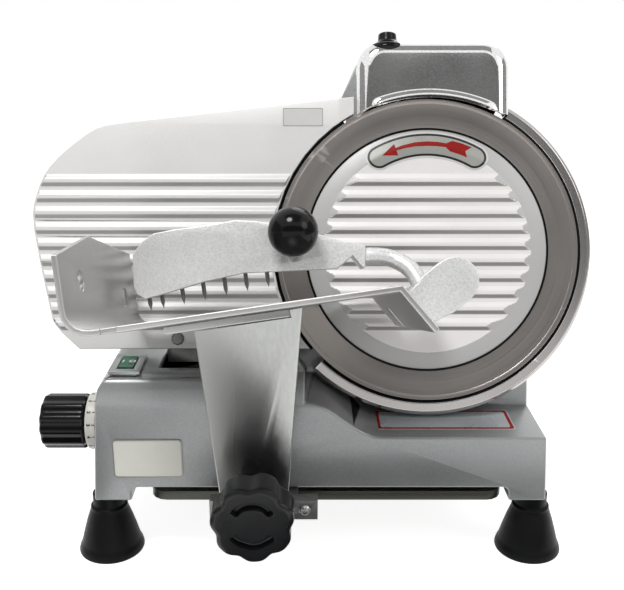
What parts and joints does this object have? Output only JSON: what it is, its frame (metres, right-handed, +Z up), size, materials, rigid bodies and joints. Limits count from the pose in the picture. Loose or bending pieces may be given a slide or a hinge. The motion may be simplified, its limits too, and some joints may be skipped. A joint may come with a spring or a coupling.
{
  "type": "meat slicer",
  "caption": "Electric gravity-feed meat slicer: leaning round blade, ribbed gauge plate, sliding product table on an arm, hand pusher, top sharpener and rubber feet.",
  "frame": {"origin": "under the middle of the whole slicer, on the bench top", "axes": "+X along the carriage travel towards the blade, +Y away from the operator, +Z up"},
  "size_m": [0.4104, 0.3942, 0.3713],
  "materials": {
    "grey_paint": "silver-grey hammered paint on cast metal",
    "ground_steel": "finely ground in circles",
    "cast_aluminium": "satin, slightly rough casting",
    "rough_aluminium": "sand-cast, sparkling grain",
    "polished_aluminium": "polished, clear-coated",
    "bright_steel": "bright turned steel",
    "motor_metal": "cast, unpainted",
    "black_plastic": "gloss black moulding",
    "black_rubber": "matt black rubber",
    "white_plastic": "ivory moulding",
    "green_plastic": "green moulding",
    "bronze": "sintered bronze",
    "abrasive": "bonded abrasive"
  },
  "bodies": {
    "root": {"base_casting": "grey_paint", "foot_front_left": "black_rubber", "foot_front_right": "black_rubber", "foot_rear_left": "black_rubber", "foot_rear_right": "black_rubber", "bottom_tray": "grey_paint", "capacitor": "white_plastic", "switch_bezel": "black_plastic", "cord_inlet": "black_plastic", "carriage_rail": "bright_steel", "guide_bar": "bright_steel", "blade_housing": "grey_paint", "blade_bearing_front": "bright_steel", "blade_bearing_rear": "bright_steel", "guard_ring": "polished_aluminium", "blade_cover": "cast_aluminium", "cover_tie_rod": "bright_steel", "belt_cover": "grey_paint", "drive_belt": "black_rubber", "motor": "motor_metal", "motor_bracket": "bright_steel", "gauge_guide_rod_1": "bright_steel", "gauge_guide_rod_2": "bright_steel", "sharpener_bracket": "grey_paint", "sharpener_post": "bright_steel"},
    "blade": {"blade": "ground_steel", "blade_shaft": "bright_steel", "blade_pulley": "cast_aluminium"},
    "motor_rotor": {"motor_rotor": "bright_steel"},
    "cover_knob": {"cover_knob": "black_plastic"},
    "thickness_knob": {"thickness_dial": "white_plastic", "thickness_knob": "black_plastic", "thickness_shaft": "bright_steel", "spiral_cam": "bronze"},
    "gauge_plate": {"gauge_plate": "cast_aluminium", "gauge_screw_1": "bright_steel", "gauge_screw_2": "bright_steel", "gauge_slide": "bright_steel"},
    "carriage": {"product_table": "cast_aluminium", "rod_bracket": "cast_aluminium", "carriage_arm": "polished_aluminium", "carriage_slider": "cast_aluminium", "carriage_bush_left": "bronze", "carriage_bush_right": "bronze", "guide_pad": "white_plastic", "foot_screw": "bright_steel"},
    "carriage_lock_knob": {"carriage_lock_knob": "black_plastic"},
    "pusher_rod": {"pusher_rod": "bright_steel", "pusher_bushing": "bronze"},
    "pusher": {"pusher": "rough_aluminium", "spike_strip": "bright_steel", "ball_collar": "bright_steel", "ball_knob": "black_plastic"},
    "sharpener": {"sharpener_housing": "polished_aluminium"},
    "sharpener_knob": {"sharpener_knob": "black_plastic"},
    "grinding_spindle": {"grinding_spindle": "bright_steel"},
    "grinding_stone": {"grinding_stone": "abrasive"},
    "deburring_spindle": {"deburring_spindle": "bright_steel"},
    "deburring_stone": {"deburring_stone": "abrasive"},
    "switch_rocker": {"switch_rocker": "green_plastic"}
  },
  "joints": [
    {"name": "blade_spin", "type": "hinge", "parent": "root", "child": "blade", "pos_m": [0.08347, 0.00707, 0.2183], "axis": [0, 0.9494, -0.314], "continuous": true},
    {"name": "rotor_spin", "type": "hinge", "parent": "root", "child": "motor_rotor", "pos_m": [0.08347, 0.05953, 0.09984], "axis": [0, 0.9494, -0.314], "continuous": true},
    {"name": "cover_knob_turn", "type": "hinge", "parent": "root", "child": "cover_knob", "pos_m": [0.08347, 0.09442, 0.18941], "axis": [0, 0.9494, -0.314], "range_deg": [0, 360]},
    {"name": "thickness_turn", "type": "hinge", "parent": "root", "child": "thickness_knob", "pos_m": [-0.15567, -0.02573, 0.0966], "axis": [1, 0, 0], "range_deg": [0, 300]},
    {"name": "gauge_travel", "type": "slide", "parent": "root", "child": "gauge_plate", "axis": [0, 0.9494, -0.314], "range_m": [0, 0.012]},
    {"name": "carriage_travel", "type": "slide", "parent": "root", "child": "carriage", "axis": [1, 0, 0], "range_m": [-0.05, 0.145]},
    {"name": "lock_knob_turn", "type": "hinge", "parent": "carriage", "child": "carriage_lock_knob", "pos_m": [-0.03952, -0.12223, 0.0683], "axis": [0, 1, 0], "range_deg": [0, 270]},
    {"name": "pusher_travel", "type": "slide", "parent": "carriage", "child": "pusher_rod", "axis": [0, 0.9494, -0.314], "range_m": [-0.008, 0.02]},
    {"name": "pusher_flip", "type": "hinge", "parent": "pusher_rod", "child": "pusher", "pos_m": [0.07208, -0.09059, 0.20963], "axis": [0, 0.9494, -0.314], "range_deg": [0, 75]},
    {"name": "sharpener_lift", "type": "slide", "parent": "root", "child": "sharpener", "axis": [0, 0.314, 0.9494], "range_m": [0, 0.025]},
    {"name": "sharpener_knob_turn", "type": "hinge", "parent": "sharpener", "child": "sharpener_knob", "pos_m": [0.05448, 0.05291, 0.36008], "axis": [0, 0.314, 0.9494], "range_deg": [0, 360]},
    {"name": "grinding_push", "type": "slide", "parent": "sharpener", "child": "grinding_spindle", "axis": [0, -0.9494, 0.314], "range_m": [0, 0.005], "stiffness_N_per_m": 300, "springref_m": -0.004},
    {"name": "grinding_spin", "type": "hinge", "parent": "grinding_spindle", "child": "grinding_stone", "pos_m": [0.07848, 0.05455, 0.3332], "axis": [0, 0.9494, -0.314], "continuous": true},
    {"name": "deburring_pull", "type": "slide", "parent": "sharpener", "child": "deburring_spindle", "axis": [0, 0.9494, -0.314], "range_m": [0, 0.0015], "stiffness_N_per_m": 300, "springref_m": -0.004},
    {"name": "deburring_spin", "type": "hinge", "parent": "deburring_spindle", "child": "deburring_stone", "pos_m": [0.10748, 0.03936, 0.33823], "axis": [0, 0.9494, -0.314], "continuous": true},
    {"name": "rocker_tilt", "type": "hinge", "parent": "root", "child": "switch_rocker", "pos_m": [-0.13173, -0.03173, 0.1433], "axis": [1, 0, 0], "range_deg": [-5, 5]}
  ],
  "couplings": [
    {"joint": "rotor_spin", "follows": "blade_spin", "ratio": 3.0769},
    {"joint": "thickness_turn", "follows": "gauge_travel", "rad_per_m": 436.33}
  ]
}
